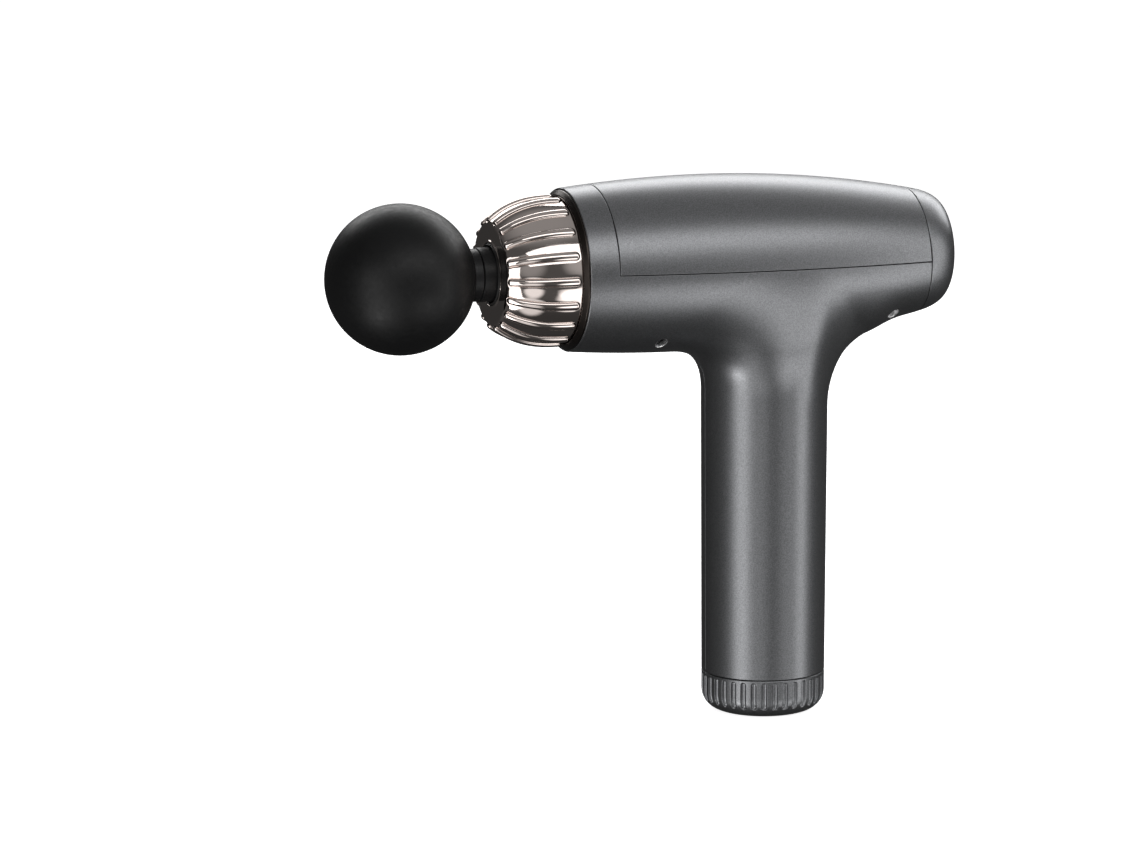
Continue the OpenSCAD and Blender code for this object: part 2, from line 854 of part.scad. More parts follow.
module control_board() {
  color("#1d5b3a") on_axis() translate([23, -15, -12]) cube([30, 30, 1.6]);
}

// Switching parts with a metal spreader over them, a controller, a capacitor and a plug socket.
module board_parts() {
  board_top = -10.4;
  color("#26262a") on_axis() {
    for (y = [-9, -1, 7]) translate([27, y - 2.5, board_top]) cube([6.5, 5, 2.3]);
    translate([25, -14, board_top + 2.3]) cube([11, 28, 3]);
    translate([38, -4, board_top]) cube([8, 8, 1.2]);
    translate([43, 9.5, board_top]) cylinder(r = 5, h = 12);
    translate([46, -12, board_top]) cube([5, 10, 5]);
  }
}

body_shell_left();
body_shell_right();
top_cover();
rear_cap();
shell_screws();
front_bezel();
vent_dome();
collar_seal();
display_lens();
speed_button();
display_board();
tact_switch();
level_leds();
display_screws();
base_ring();
base_plate();
base_screws();
switch_frame();
rocker_switch();
charge_jack();
jack_pin();
ball_head();
head_stem();
stem_ring();
plunger();
yoke();
yoke_pin();
guide_sleeve();
drive_frame();
frame_damper();
frame_pads();
motor_base();
motor_bearings();
motor_screws();
stator_core();
stator_windings();
motor_shaft();
rotor_bell();
rotor_magnets();
crank_disc();
crank_pin();
crank_bearing();
bearing_clip();
battery_cells();
cell_tray_low();
cell_tray_top();
cell_links();
battery_board();
control_board();
board_parts();
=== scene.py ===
"""Looks of a handheld massage gun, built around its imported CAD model.

Lengths in this script are millimetres in the CAD frame, and make_piece() turns them into metres.
The barrel's axis lies along X at height AXIS_Z, the ball is at -X and the handle stands along Z.
"""

import math

import bmesh
import bpy
import numpy as np
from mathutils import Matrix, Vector


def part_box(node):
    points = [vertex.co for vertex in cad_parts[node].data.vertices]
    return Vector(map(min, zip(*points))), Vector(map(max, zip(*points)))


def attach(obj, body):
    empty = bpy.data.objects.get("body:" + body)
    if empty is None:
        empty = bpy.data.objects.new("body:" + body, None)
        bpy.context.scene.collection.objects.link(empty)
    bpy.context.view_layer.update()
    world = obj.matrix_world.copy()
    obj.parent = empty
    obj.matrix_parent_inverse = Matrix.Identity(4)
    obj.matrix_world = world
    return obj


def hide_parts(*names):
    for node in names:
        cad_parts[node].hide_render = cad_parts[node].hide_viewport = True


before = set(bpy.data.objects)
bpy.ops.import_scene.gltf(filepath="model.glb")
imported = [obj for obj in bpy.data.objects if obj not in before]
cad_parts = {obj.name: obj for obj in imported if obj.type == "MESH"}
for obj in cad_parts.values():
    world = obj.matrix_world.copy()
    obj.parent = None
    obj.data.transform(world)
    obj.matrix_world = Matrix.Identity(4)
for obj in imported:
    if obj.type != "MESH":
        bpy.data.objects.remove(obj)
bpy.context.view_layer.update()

MM = 0.001


def cad(node):
    """Lowest and highest corner of a CAD node, in millimetres."""
    low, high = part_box(node)
    return np.array(low) / MM, np.array(high) / MM


# ---- sizes, taken from the frame ----

AXIS_Z = float(np.mean([cad("plunger")[0][2], cad("plunger")[1][2]]))
RIM_X = cad("body_shell_left")[0][0]
COVER_X = cad("top_cover")[0][0]
REAR_X = cad("display_lens")[1][0]
BARREL_R = cad("body_shell_right")[1][1]
BASE_H = cad("body_shell_right")[0][2]
LOW_R = cad("base_ring")[1][1]
LENS_R = cad("display_lens")[1][1]
LENS_FRONT = cad("display_lens")[0][0]
BUTTON_R = 5.3
BUTTON_REAR = cad("speed_button")[1][0]
DOME_FRONT = cad("vent_dome")[0][0]
DOME_BACK = cad("vent_dome")[1][0]
BALL_FRONT, BALL_R = cad("ball_head")[0][0], cad("ball_head")[1][1]
STEM_TIP = cad("head_stem")[1][0]
PLUNGER_FRONT, PLUNGER_REAR = cad("plunger")[0][0], cad("plunger")[1][0]
PLUNGER_R = cad("plunger")[1][1]
HANDLE_TOP_R = 23
HANDLE_TOP_Z = 120
WALL = 2.2
DOME_WALL = 1.4

# Barrel outline: one arc ahead of its thickest place and one behind it
CREST_X = -30
FRONT_BOW = 480
REAR_BOW = 425
# Seams between the shells, the top cover and the rear cap
SEAM_X = 55.8
CAP_LEAN = math.tan(math.radians(2.87))
COVER_RISE = 0.3
COVER_FALL = math.tan(math.radians(1.31))
GAP = 0.26
EDGE = 0.22
SPLIT_GAP = 0.06
SPLIT_EDGE = 0.1
RIM_EDGE = 0.42
# Neck: a round web leans from the handle to the underside of the barrel's rear
HANDLE_END_Z = 136
WEB_LOW, WEB_LOW_R = np.array([1, 0, 129.5]), 20.7
WEB_HIGH, WEB_HIGH_R = np.array([30, 0, 150]), 14
NECK_FILLET = 15
SIDE_FILLET = 22
WEB_FILLET = 9
# Screw recesses as (x, height below the barrel's axis), on the left side
SCREWS = [(-46.8, 25.4), (44.5, 20.7)]
RECESS_R = 1.85
RECESS_FLOOR_Y = -9
BORE_EDGE = 0.3
BOSS_R = 3.2
BOSS_END_Y = -0.4
BOSS_SIDES = 32
# Ribs of the dome and flutes of the base ring
RIBS, RIB_HEIGHT = 18, 1.1
FLUTES, FLUTE_DEPTH, FLUTE_HALF_WIDTH = 36, 1.0, 1.05


def barrel_radius(x):
    """Outer radius of the barrel at x."""
    d = np.asarray(x, float) - CREST_X
    bow = np.where(d < 0, FRONT_BOW, REAR_BOW)
    return BARREL_R - bow + np.sqrt(bow * bow - d * d)


def handle_radius(z):
    """Outer radius of the handle at height z."""
    share = np.clip((np.asarray(z, float) - BASE_H) / (HANDLE_TOP_Z - BASE_H), 0, 1)
    return LOW_R + (HANDLE_TOP_R - LOW_R) * share


def cover_seam_z(x):
    """Height of the top cover's lower edge at x."""
    return AXIS_Z + COVER_RISE - COVER_FALL * x


def cap_seam_x(z):
    """Place of the rear cap's seam at height z."""
    return SEAM_X - CAP_LEAN * (z - AXIS_Z)


# ---- mesh helpers ----


def unit(vectors):
    """Rows of vectors, each with a length of 1."""
    return vectors / np.linalg.norm(vectors, axis=1)[:, None]


def on_barrel(x, radius, angle):
    """Point at an angle round the barrel's axis, from straight down and towards +Y."""
    x, radius, angle = np.broadcast_arrays(x, radius, angle)
    return np.stack([x, radius * np.sin(angle), AXIS_Z - radius * np.cos(angle)], -1)


def make_piece(node, build, material, body, normals=None, sharp=35, trim=None):
    """A mesh object, in metres, that rides on a CAD body and stands for a CAD node.

    trim is a second material and the faces that take it.
    """
    mesh = bpy.data.meshes.new(node)
    mesh.from_pydata((build.verts * MM).tolist(), [], build.faces)
    if normals is None:
        weld(mesh)
    mesh.shade_smooth()
    if normals is None:
        mesh.set_sharp_from_angle(angle=math.radians(sharp))
    else:
        mesh.normals_split_custom_set_from_vertices(np.asarray(normals, float).tolist())
    mesh.materials.append(material)
    if trim:
        mesh.materials.append(trim[0])
        for face in trim[1]:
            mesh.polygons[face].material_index = 1
    piece = bpy.data.objects.new(node, mesh)
    bpy.context.scene.collection.objects.link(piece)
    if normals is None:
        weighted = piece.modifiers.new("weighted_normals", "WEIGHTED_NORMAL")
        weighted.keep_sharp = True
    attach(piece, body)
    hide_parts(node)
    return piece


def weld(mesh, distance=2e-6):
    """Joins points in the same place and turns every face outwards."""
    work = bmesh.new()
    work.from_mesh(mesh)
    bmesh.ops.remove_doubles(work, verts=work.verts, dist=distance)
    bmesh.ops.dissolve_degenerate(work, edges=work.edges, dist=distance)
    bmesh.ops.recalc_face_normals(work, faces=work.faces)
    work.to_mesh(mesh)
    work.free()


class Build:
    """Points and faces that are gathered from several surfaces."""

    def __init__(self):
        self.verts = np.zeros((0, 3))
        self.faces = []

    def add(self, verts, faces):
        start = len(self.verts)
        self.verts = np.vstack([self.verts, np.asarray(verts, float).reshape(-1, 3)])
        self.faces += [[start + int(i) for i in face] for face in faces]
        return self

    def grid(self, rows, closed=True, loop=False):
        """A surface through rows. closed joins each row's ends, and loop the last row to the first."""
        rows = np.asarray(rows, float)
        count, width = rows.shape[:2]
        faces = []
        for i in range(count if loop else count - 1):
            a, b = i * width, (i + 1) % count * width
            for j in range(width if closed else width - 1):
                k = (j + 1) % width
                faces.append([a + j, a + k, b + k, b + j])
        return self.add(rows.reshape(-1, 3), faces)


def rounded(outline, segments=4, closed=True):
    """Outline points, with an arc at each corner that gives a radius as its third value."""
    result = []
    count = len(outline)
    for i, corner in enumerate(outline):
        point = np.array(corner[:2], float)
        radius = corner[2] if len(corner) > 2 else 0
        if not radius or (not closed and i in (0, count - 1)):
            result.append(point)
            continue
        before = np.array(outline[i - 1][:2], float) - point
        after = np.array(outline[(i + 1) % count][:2], float) - point
        before /= np.linalg.norm(before)
        after /= np.linalg.norm(after)
        half = math.acos(np.clip(before @ after, -1, 1)) / 2
        middle = before + after
        centre = point + middle / np.linalg.norm(middle) * radius / math.sin(half)
        start = point + before * radius / math.tan(half) - centre
        end = point + after * radius / math.tan(half) - centre
        turn = math.pi - 2 * half
        for k in range(segments + 1):
            t = k / segments
            spoke = start * math.sin((1 - t) * turn) + end * math.sin(t * turn)
            result.append(centre + spoke / math.sin(turn))
    return np.array(result)


def on_axis(axis, along, radius, angle):
    """Point round the barrel's axis for "x", or round the handle's for "z"."""
    if axis == "x":
        return on_barrel(along, radius, angle)
    x, y, along = np.broadcast_arrays(radius * np.cos(angle), radius * np.sin(angle), along)
    return np.stack([x, y, along], -1)


def turned(outline, steps=128, axis="x", loop=True):
    """A surface of revolution from (radius, along) points."""
    angles = np.arange(steps) * 2 * math.pi / steps
    return Build().grid([on_axis(axis, along, radius, angles) for radius, along in outline], loop=loop)


def arc(centre, radius, start, end, steps):
    """Points of a circular arc in an outline, between two angles in degrees."""
    angles = np.radians(np.linspace(start, end, steps + 1))
    return [(centre[0] + radius * math.cos(a), centre[1] + radius * math.sin(a)) for a in angles]


class Path:
    """An outline of (radius, along) points, read by the distance along it."""

    def __init__(self, points):
        self.points = np.array(points, float)
        steps = np.linalg.norm(np.diff(self.points, axis=0), axis=1)
        self.at = np.concatenate([[0], np.cumsum(steps)])
        tangent = unit(np.gradient(self.points, self.at, axis=0))
        self.normal = np.stack([tangent[:, 1], -tangent[:, 0]], -1)
        self.length = self.at[-1]

    def read(self, s):
        """Radius, place along the axis and the outward normal's two parts at a distance s."""
        columns = (*self.points.T, *self.normal.T)
        return [np.interp(s, self.at, column) for column in columns]

    def nearest(self, along):
        """Distance along the path of a place along the axis."""
        column = self.points[:, 1]
        order = np.argsort(column)
        return float(np.interp(along, column[order], self.at[order]))


def relief_band(path, count, segment, half_width, relief, straight, side, across):
    """Raised ribs or sunk flutes with round ends, repeated round a surface of revolution.

    segment holds the path distances of a rib's two end centres, half_width gives its half width at such
    a distance, and relief lists (share of the half width, height) from the rib's foot to its middle.
    straight, side and across count the cells along a rib's flank and round the rest of its boundary.
    Returns rows of (turn, distance, height) for one rib, its boundary first.
    """
    low, high = segment
    half_turn = math.pi / count
    anchors, bearings, border = [], [], []
    corner = side + across
    for k in range(straight):
        s = low + (high - low) * k / straight
        anchors.append(s)
        bearings.append(0.0)
        border.append((half_turn, s))
    for end, start in ((high, 0.0), (low, math.pi)):
        limit = path.length if end == high else 0
        flip = 1 if end == high else -1
        for k in range(2 * corner):
            anchors.append(end)
            bearings.append(start + math.pi / 2 * k / corner)
            if k < side:
                border.append((flip * half_turn, end + (limit - end) * k / side))
            elif k <= side + 2 * across:
                border.append((flip * half_turn * (1 - (k - side) / across), limit))
            else:
                border.append((-flip * half_turn, limit + (end - limit) * (k - side - 2 * across) / side))
        if end == high:
            for k in range(straight):
                s = high + (low - high) * k / straight
                anchors.append(s)
                bearings.append(math.pi)
                border.append((-half_turn, s))
    anchors, bearings, border = np.array(anchors), np.array(bearings), np.array(border)
    width = half_width(anchors) * np.ones(len(anchors))

    def at(share):
        s = anchors + share * width * np.sin(bearings)
        radius = path.read(s)[0]
        return np.stack([share * width * np.cos(bearings) / radius, s], -1)

    foot = at(relief[0][0])
    rows = [np.column_stack([border, np.zeros(len(border))])]
    for share in (0.3, 0.65):
        rows.append(np.column_stack([border + (foot - border) * share, np.zeros(len(border))]))
    for share, height in relief:
        rows.append(np.column_stack([at(share), np.full(len(border), height)]))
    return rows


def wrap_band(build, path, rows, count, axis, phase=0.0):
    """Adds a band's cells to a build, one for each rib."""
    for i in range(count):
        placed = []
        for row in rows:
            radius, along, out_r, out_a = path.read(row[:, 1])
            radius = radius + out_r * row[:, 2]
            along = along + out_a * row[:, 2]
            angle = row[:, 0] + phase + (i + 0.5) * 2 * math.pi / count
            placed.append(on_axis(axis, along, radius, angle))
        build.grid(placed)


# ---- materials ----


def shader_node(tree, kind, inputs, **settings):
    """A new shader node. Each input takes a plain value or another node's output."""
    node = tree.nodes.new("ShaderNode" + kind)
    for key, value in settings.items():
        setattr(node, key, value)
    for key, value in inputs.items():
        if isinstance(value, bpy.types.NodeSocket):
            tree.links.new(value, node.inputs[key])
        else:
            node.inputs[key].default_value = value
    return node


class Finish:
    """A Principled material with procedural detail."""

    def __init__(self, name, colour, metallic, roughness, **more):
        self.material = bpy.data.materials.new(name)
        self.material.use_nodes = True
        self.tree = self.material.node_tree
        self.shader = self.tree.nodes["Principled BSDF"]
        self.set("Base Color", (*colour, 1))
        self.set("Metallic", metallic)
        self.set("Roughness", roughness)
        for key, value in more.items():
            self.set(key.replace("_", " ").title().replace("Ior", "IOR"), value)
        self.place = shader_node(self.tree, "TexCoord", {}).outputs["Object"]
        self.normal = None

    def set(self, socket, value):
        self.shader.inputs[socket].default_value = value

    def drive(self, socket, output):
        self.tree.links.new(output, self.shader.inputs[socket])

    def noise(self, scale, detail=2.0, stretch=None, kind="Noise"):
        """A noise value. Scale is in features per metre, and stretch scales it along each axis."""
        place = self.place
        if stretch:
            place = shader_node(self.tree, "Mapping", {"Scale": stretch, "Vector": place}).outputs["Vector"]
        inputs = {"Scale": scale, "Vector": place}
        if kind == "Voronoi":
            return shader_node(self.tree, "TexVoronoi", inputs).outputs["Distance"]
        return shader_node(self.tree, "TexNoise", {**inputs, "Detail": detail}).outputs["Fac"]

    def spread(self, value, socket, low, high):
        """Drives a number socket between low and high."""
        inputs = {"From Min": 0.3, "From Max": 0.7, "To Min": low, "To Max": high, "Value": value}
        self.drive(socket, shader_node(self.tree, "MapRange", inputs).outputs["Result"])

    def tint(self, value, low, high, source=(0.3, 0.7)):
        """Drives the base colour between two colours."""
        node = shader_node(self.tree, "ValToRGB", {"Fac": value})
        for stop, position, colour in zip(node.color_ramp.elements, source, (low, high)):
            stop.position = position
            stop.color = (*colour, 1)
        self.drive("Base Color", node.outputs["Color"])

    def bump(self, value, depth_mm, strength=1.0):
        """Adds fine relief to the surface."""
        inputs = {"Strength": strength, "Distance": depth_mm * MM, "Height": value}
        if self.normal:
            inputs["Normal"] = self.normal
        self.normal = shader_node(self.tree, "Bump", inputs).outputs["Normal"]
        self.drive("Normal", self.normal)

    def lines(self, scale, depth_mm, strength):
        """Adds fine grooves that repeat along Z."""
        inputs = {"Scale": scale, "Vector": self.place}
        wave = shader_node(self.tree, "TexWave", inputs, bands_direction="Z")
        self.bump(wave.outputs["Fac"], depth_mm, strength)


def gunmetal_finish():
    """Bead-blasted and anodised aluminium: a dark satin with a fine sparkle."""
    f = Finish("gunmetal", (0.2, 0.205, 0.215), 1.0, 0.4)
    grain = f.noise(3200, 1.0)
    f.spread(grain, "Roughness", 0.33, 0.43)
    f.tint(f.noise(2400, 2.0), (0.175, 0.178, 0.185), (0.25, 0.254, 0.262), (0.35, 0.65))
    f.bump(grain, 0.006, 0.5)
    return f.material


def chrome_finish():
    """Warm tinted mirror plating, with faint waves and polishing marks."""
    f = Finish("dome_chrome", (0.66, 0.585, 0.55), 1.0, 0.07)
    f.spread(f.noise(220, 4.0), "Roughness", 0.05, 0.1)
    f.bump(f.noise(160, 2.0), 0.012, 0.4)
    return f.material


def bezel_finish():
    """Dark bronze plating, less polished than the dome."""
    f = Finish("bezel", (0.045, 0.038, 0.034), 1.0, 0.3)
    f.spread(f.noise(700, 2.0), "Roughness", 0.27, 0.33)
    f.tint(f.noise(60, 3.0), (0.041, 0.035, 0.031), (0.05, 0.042, 0.038))
    return f.material


def ball_finish():
    """Matte black foam skin with a leathery grain."""
    f = Finish("soft_ball", (0.0038, 0.0038, 0.004), 0.0, 0.45, specular_ior_level=0.25)
    f.spread(f.noise(500, 4.0), "Roughness", 0.4, 0.52)
    f.bump(f.noise(700, 3.0, kind="Voronoi"), 0.05, 0.35)
    f.bump(f.noise(1900, 2.0), 0.02, 0.4)
    return f.material


def plastic_finish(name, colour, roughness, grain_mm=0.01, scale=1500, **more):
    """Moulded plastic with a spark-eroded grain."""
    f = Finish(name, colour, 0.0, roughness, **more)
    grain = f.noise(scale, 3.0)
    f.spread(grain, "Roughness", roughness - 0.05, roughness + 0.07)
    if grain_mm:
        f.bump(grain, grain_mm, 0.5)
    return f.material


def metal_finish(name, colour, roughness, stretch=(1, 1, 1)):
    """Machined or drawn metal with marks along one way."""
    f = Finish(name, colour, 1.0, roughness)
    marks = f.noise(900, 4.0, stretch)
    f.spread(marks, "Roughness", roughness - 0.06, roughness + 0.12)
    f.bump(marks, 0.004, 0.4)
    return f.material


def board_finish():
    """Green circuit board with copper tracks under its lacquer."""
    f = Finish("circuit_board", (0.01, 0.09, 0.035), 0.0, 0.35, coat_weight=0.4, coat_roughness=0.2)
    tracks = f.noise(420, 0.0, (1, 0.25, 1), kind="Voronoi")
    f.tint(tracks, (0.012, 0.13, 0.05), (0.006, 0.06, 0.025), (0.2, 0.3))
    f.bump(tracks, 0.03, 0.4)
    return f.material


def copper_finish():
    """Enamelled copper wire, wound in fine turns along Z."""
    f = Finish("copper", (0.72, 0.28, 0.1), 1.0, 0.28)
    f.lines(620, 0.25, 0.9)
    f.spread(f.noise(800, 2.0), "Roughness", 0.22, 0.4)
    return f.material


def lamination_finish():
    """A stack of thin steel plates, seen as fine lines across Z."""
    f = Finish("laminations", (0.32, 0.33, 0.35), 1.0, 0.42)
    f.lines(320, 0.08, 0.7)
    f.spread(f.noise(500, 2.0), "Roughness", 0.36, 0.52)
    return f.material


GUNMETAL = gunmetal_finish()
CHROME = chrome_finish()
BEZEL = bezel_finish()
BALL = ball_finish()
BLACK = plastic_finish("black_plastic", (0.0075, 0.0075, 0.008), 0.42, specular_ior_level=0.28)
SEAL = plastic_finish("seal", (0.012, 0.011, 0.011), 0.5, 0.015)
RUBBER = plastic_finish("grey_rubber", (0.04, 0.04, 0.042), 0.62, 0.03, 900)
GLOSS = plastic_finish("black_gloss", (0.006, 0.006, 0.007), 0.09, 0, coat_weight=0.6, coat_roughness=0.04)
BUTTON = plastic_finish("button", (0.045, 0.046, 0.05), 0.34, 0.006)
LED = plastic_finish("led", (0.75, 0.82, 0.9), 0.3, 0, transmission_weight=0.2)
ROCKER = plastic_finish("rocker", (0.42, 0.022, 0.016), 0.3, 0.006)
BEARING = plastic_finish("bearing_plastic", (0.55, 0.4, 0.2), 0.45)
CELL = plastic_finish("cell_sleeve", (0.03, 0.12, 0.34), 0.32, 0.004, 300)
PARTS = plastic_finish("board_parts", (0.018, 0.018, 0.02), 0.42)
STEEL = metal_finish("steel", (0.56, 0.56, 0.57), 0.27, (1, 1, 12))
SCREW = metal_finish("fasteners", (0.6, 0.6, 0.61), 0.24, (3, 3, 3))
ALUMINIUM = metal_finish("aluminium", (0.68, 0.69, 0.7), 0.36, (8, 1, 1))
BARE = metal_finish("bare_cut", (0.9, 0.9, 0.9), 0.3)
MOTOR = metal_finish("motor_black", (0.045, 0.046, 0.05), 0.3, (1, 1, 10))
BOARD = board_finish()
COPPER = copper_finish()
LAMINATIONS = lamination_finish()

# ---- the T-shaped body ----


def round_cone(p, low, high, low_r, high_r):
    """Distance from points to a cone with round ends."""
    span = high - low
    length = np.linalg.norm(span)
    axis = span / length
    along = (p - low) @ axis
    away = np.linalg.norm(p - low - np.outer(along, axis), axis=1)
    lean = (low_r - high_r) / length
    share = np.clip((along + away * lean / math.sqrt(1 - lean * lean)) / length, 0, 1)
    return np.hypot(away, along - share * length) - (low_r + (high_r - low_r) * share)


def smooth_union(a, b, reach):
    """The smaller distance, with a fillet that reaches that far along both surfaces."""
    h = np.clip(reach - np.abs(a - b), 0, None) / reach
    return np.minimum(a, b) - h * h * reach / 4


def smooth_step(value):
    """Eases from 0 to 1."""
    t = np.clip(value, 0, 1)
    return t * t * (3 - 2 * t)


def body_field(p):
    """Distance to the body's outside: negative inside it."""
    x, y, z = p.T
    barrel = np.hypot(y, z - AXIS_Z) - barrel_radius(x)
    above = np.clip(z - HANDLE_END_Z, 0, None)
    handle = np.sqrt(x * x + y * y + above * above) - handle_radius(z)
    web = round_cone(p, WEB_LOW, WEB_HIGH, WEB_LOW_R, WEB_HIGH_R)
    web_starts = smooth_step((x + 4) / 18)
    grip = smooth_union(handle, web, 1 + (WEB_FILLET - 1) * web_starts)
    to_side = smooth_step(np.abs(y) / 26)
    to_rear = smooth_step((x - 8) / 20)
    reach = (NECK_FILLET + (SIDE_FILLET - NECK_FILLET) * to_side) * (1 - 0.45 * to_rear)
    return smooth_union(grip, barrel, reach)


def slope(p):
    """Gradient of the body's field."""
    step = 0.01
    shifts = np.eye(3) * step
    return np.stack([(body_field(p + s) - body_field(p - s)) / (2 * step) for s in shifts], -1)


def onto_body(p, rounds=3):
    """Moves points along the field's gradient onto the body's outside."""
    for _ in range(rounds):
        g = slope(p)
        p = p - g * (body_field(p) / np.sum(g * g, axis=1))[:, None]
    return p


def round_block(left, right, low, high):
    """Grid places round the edge of a block of cells."""
    loop = [(a, low) for a in range(left, right)]
    loop += [(right, b) for b in range(low, high)]
    loop += [(a, high) for a in range(right, left, -1)]
    return loop + [(left, b) for b in range(high, low, -1)]


class BodyGrid:
    """Quads over the outside of both body shells, with their edges on the seams."""

    ring_cells = 6
    length_cells = 60
    under_cells = 52
    over_cells = 52
    neck_rows = 14
    neck_z = 117
    handle_pitch = 1.7
    hole_front, hole_rear = -31, 38
    evening_rounds = 60

    def __init__(self):
        self.points = []
        self.names = {}
        self.faces = []
        self.pinned = []
        self.inset = GAP / 2 + EDGE
        self.front = RIM_X + RIM_EDGE
        self.ring_end = COVER_X - self.inset
        self.barrel_rows()
        self.neck_and_handle()
        self.bore_holes()
        self.finish()

    def seam_angle(self, x):
        """Angle from straight down to the body's edge under the top cover."""
        rise = (cover_seam_z(x) - self.inset - AXIS_Z) / barrel_radius(x)
        return math.pi / 2 + np.arcsin(rise)

    def point(self, i, j):
        """Barrel point of column i along the barrel and row j round it."""
        if i <= self.ring_cells:
            x = self.front + (self.ring_end - self.front) * i / self.ring_cells
            edge = self.seam_angle(self.ring_end)
            if j <= self.under_cells:
                angle = edge * (2 * j / self.under_cells - 1)
            else:
                angle = edge + (2 * math.pi - 2 * edge) * (j - self.under_cells) / self.over_cells
            return on_barrel(x, barrel_radius(x), angle)
        x = self.ring_end
        share = (i - self.ring_cells) / self.length_cells
        for _ in range(4):
            angle = self.seam_angle(x) * (2 * j / self.under_cells - 1)
            end = cap_seam_x(AXIS_Z - barrel_radius(x) * math.cos(angle)) - self.inset
            x = self.ring_end + (end - self.ring_end) * share
        return on_barrel(x, barrel_radius(x), angle)

    def vertex(self, key, place=None, pinned=False):
        """The number of a named grid point, made when it is first asked for."""
        if key not in self.names:
            self.names[key] = len(self.points)
            self.points.append(self.point(*key) if place is None else place)
            self.pinned.append(pinned)
        return self.names[key]

    def column_at(self, x):
        """Number of the column nearest to x."""
        share = (x - self.ring_end) / (SEAM_X - self.ring_end)
        return self.ring_cells + round(share * self.length_cells)

    def barrel_rows(self):
        """Cells over the barrel, with a hole in its underside for the neck."""
        columns = self.ring_cells + self.length_cells
        around = self.under_cells + self.over_cells
        self.near = self.column_at(self.hole_front)
        self.far = self.column_at(self.hole_rear)
        self.side = round(self.under_cells * (1 - 52 / 91) / 2)
        for i in range(columns):
            rows = around if i < self.ring_cells else self.under_cells
            for j in range(rows):
                if self.near <= i < self.far and self.side <= j < self.under_cells - self.side:
                    continue
                k = (j + 1) % around
                corners = [(i, j), (i + 1, j), (i + 1, k), (i, k)]
                numbers = []
                for a, b in corners:
                    on_seam = a >= self.ring_cells and (b == 0 or b >= self.under_cells)
                    numbers.append(self.vertex((a, b), pinned=on_seam or a in (0, columns)))
                self.faces.append(numbers[::-1])

    def neck_and_handle(self):
        """Cells from the hole's edge down to the handle's lower end."""
        loop = round_block(self.near, self.far, self.side, self.under_cells - self.side)
        start = loop.index((self.near, self.under_cells // 2))
        loop = loop[start:] + loop[:start]
        top = np.array([self.points[self.vertex(key)] for key in loop])
        count = len(loop)
        angles = math.pi + np.arange(count) * 2 * math.pi / count
        bottom = BASE_H + self.inset
        levels = np.linspace(self.neck_z, bottom, round((self.neck_z - bottom) / self.handle_pitch) + 1)
        rows = [[self.vertex(key) for key in loop]]
        first = self.ring_at(self.neck_z, angles)
        for k in range(1, self.neck_rows):
            blend = top + (first - top) * k / self.neck_rows
            rows.append([self.vertex(("neck", k, n), blend[n]) for n in range(count)])
        for k, z in enumerate(levels):
            ring = self.ring_at(z, angles)
            last = k == len(levels) - 1
            rows.append([self.vertex(("handle", k, n), ring[n], last) for n in range(count)])
        for upper, lower in zip(rows, rows[1:]):
            for n in range(count):
                m = (n + 1) % count
                self.faces.append([upper[n], lower[n], lower[m], upper[m]])

    def ring_at(self, z, angles):
        radius = handle_radius(z)
        return np.stack([radius * np.cos(angles), radius * np.sin(angles), np.full(len(angles), z)], -1)

    def bore_holes(self):
        """Opens the grid round each screw recess, with a ring of points for each."""
        self.bores = []
        for number, (x, drop) in enumerate(SCREWS):
            angle = -math.acos(drop / barrel_radius(x))
            i = self.column_at(x)
            j = round((angle / self.seam_angle(x) + 1) * self.under_cells / 2)
            left, right, low, high = i - 2, i + 2, j - 3, j + 3
            block = {(a, b) for a in range(left, right + 1) for b in range(low, high + 1)}
            numbers = {self.names[key] for key in block if key in self.names}
            self.faces = [f for f in self.faces if not set(f) <= numbers]
            outer = [self.names[key] for key in round_block(left, right, low, high)]
            places = np.array([self.points[n] for n in outer])
            bearing = np.arctan2(places[:, 2] - (AXIS_Z - drop), places[:, 0] - x)
            turn = np.sign(((bearing[1] - bearing[0] + math.pi) % (2 * math.pi)) - math.pi)
            count = len(outer)
            bearing = bearing[0] + turn * np.arange(count) * 2 * math.pi / count
            radius = RECESS_R + BORE_EDGE
            hole = on_left_flank(x + radius * np.cos(bearing), AXIS_Z - drop + radius * np.sin(bearing))
            rows = [outer]
            for k, share in enumerate((0.4, 0.75, 1.0)):
                ring = places + (hole - places) * share
                rows.append([self.vertex(("bore", number, k, n), ring[n], share == 1) for n in range(count)])
            for a, b in zip(rows, rows[1:]):
                for n in range(count):
                    m = (n + 1) % count
                    self.faces.append([a[m], a[n], b[n], b[m]])
            self.bores.append(rows[-1])

    def finish(self):
        """Spreads the free points evenly over the body."""
        points = np.array(self.points)
        pinned = np.array(self.pinned)
        faces = np.array(self.faces)
        edges = np.unique(np.sort(faces[:, [0, 1, 1, 2, 2, 3, 3, 0]].reshape(-1, 2), axis=1), axis=0)
        degree = np.bincount(edges.ravel(), minlength=len(points))[:, None]
        mirror = np.abs(points[:, 1]) < 1e-6
        free = ~pinned & (degree[:, 0] > 0)
        points[free] = onto_body(points[free])
        for _ in range(self.evening_rounds):
            total = np.zeros_like(points)
            np.add.at(total, edges[:, 0], points[edges[:, 1]])
            np.add.at(total, edges[:, 1], points[edges[:, 0]])
            moved = points + 0.5 * (total / np.maximum(degree, 1) - points)
            points[free] = onto_body(moved[free], 1)
            points[mirror, 1] = 0
        points[free] = onto_body(points[free])
        self.points, self.faces = points, faces
        self.normals = unit(slope(points))


